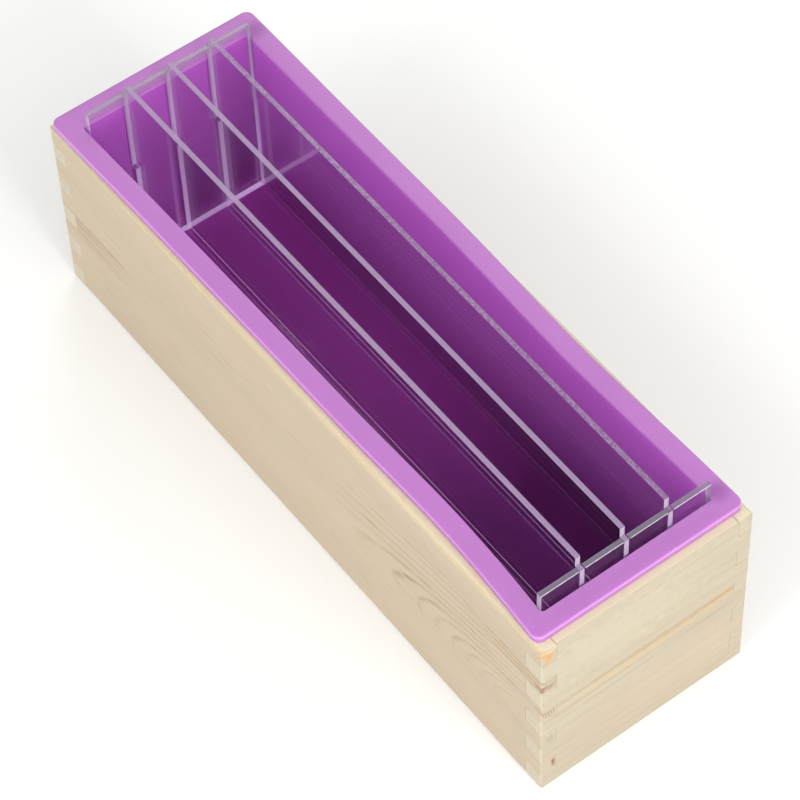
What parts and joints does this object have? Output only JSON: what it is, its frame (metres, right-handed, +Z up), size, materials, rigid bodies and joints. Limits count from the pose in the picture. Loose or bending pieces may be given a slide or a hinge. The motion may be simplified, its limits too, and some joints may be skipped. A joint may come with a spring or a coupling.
{
  "type": "soap loaf mould",
  "caption": "Finger-jointed wooden box with a lift-out silicone liner and a clear slotted divider for pouring striped soap loaves.",
  "frame": {"origin": "centre of the box's underside", "axes": "+X along the loaf, +Y across it, +Z up out of the mould"},
  "size_m": [0.28, 0.087, 0.0992],
  "materials": {
    "side_pine": "sanded, bare",
    "end_pine": "sanded, bare",
    "base_pine": "sanded, bare",
    "silicone": "satin",
    "clear_acrylic": "polished faces, sawn edges"
  },
  "bodies": {
    "box": {"side_board_front": "side_pine", "side_board_rear": "side_pine", "end_board_left": "end_pine", "end_board_right": "end_pine", "base_board": "base_pine"},
    "liner": {"silicone_liner": "silicone"},
    "cross_right": {"cross_board_right": "clear_acrylic"},
    "cross_left": {"cross_board_left": "clear_acrylic"},
    "board_front": {"divider_board_front": "clear_acrylic"},
    "board_middle": {"divider_board_middle": "clear_acrylic"},
    "board_rear": {"divider_board_rear": "clear_acrylic"}
  },
  "joints": [
    {"name": "liner_lift", "type": "slide", "parent": "box", "child": "liner", "axis": [0, 0, 1], "range_m": [0, 0.09]},
    {"name": "cross_right_lift", "type": "slide", "parent": "liner", "child": "cross_right", "axis": [0, 0, 1], "range_m": [0, 0.09]},
    {"name": "cross_left_lift", "type": "slide", "parent": "liner", "child": "cross_left", "axis": [0, 0, 1], "range_m": [0, 0.09]},
    {"name": "board_front_lift", "type": "slide", "parent": "cross_right", "child": "board_front", "axis": [0, 0, 1], "range_m": [0, 0.095]},
    {"name": "board_middle_lift", "type": "slide", "parent": "cross_right", "child": "board_middle", "axis": [0, 0, 1], "range_m": [0, 0.095]},
    {"name": "board_rear_lift", "type": "slide", "parent": "cross_right", "child": "board_rear", "axis": [0, 0, 1], "range_m": [0, 0.095]}
  ],
  "couplings": [
    {"joint": "cross_left_lift", "follows": "cross_right_lift", "ratio": 1}
  ]
}
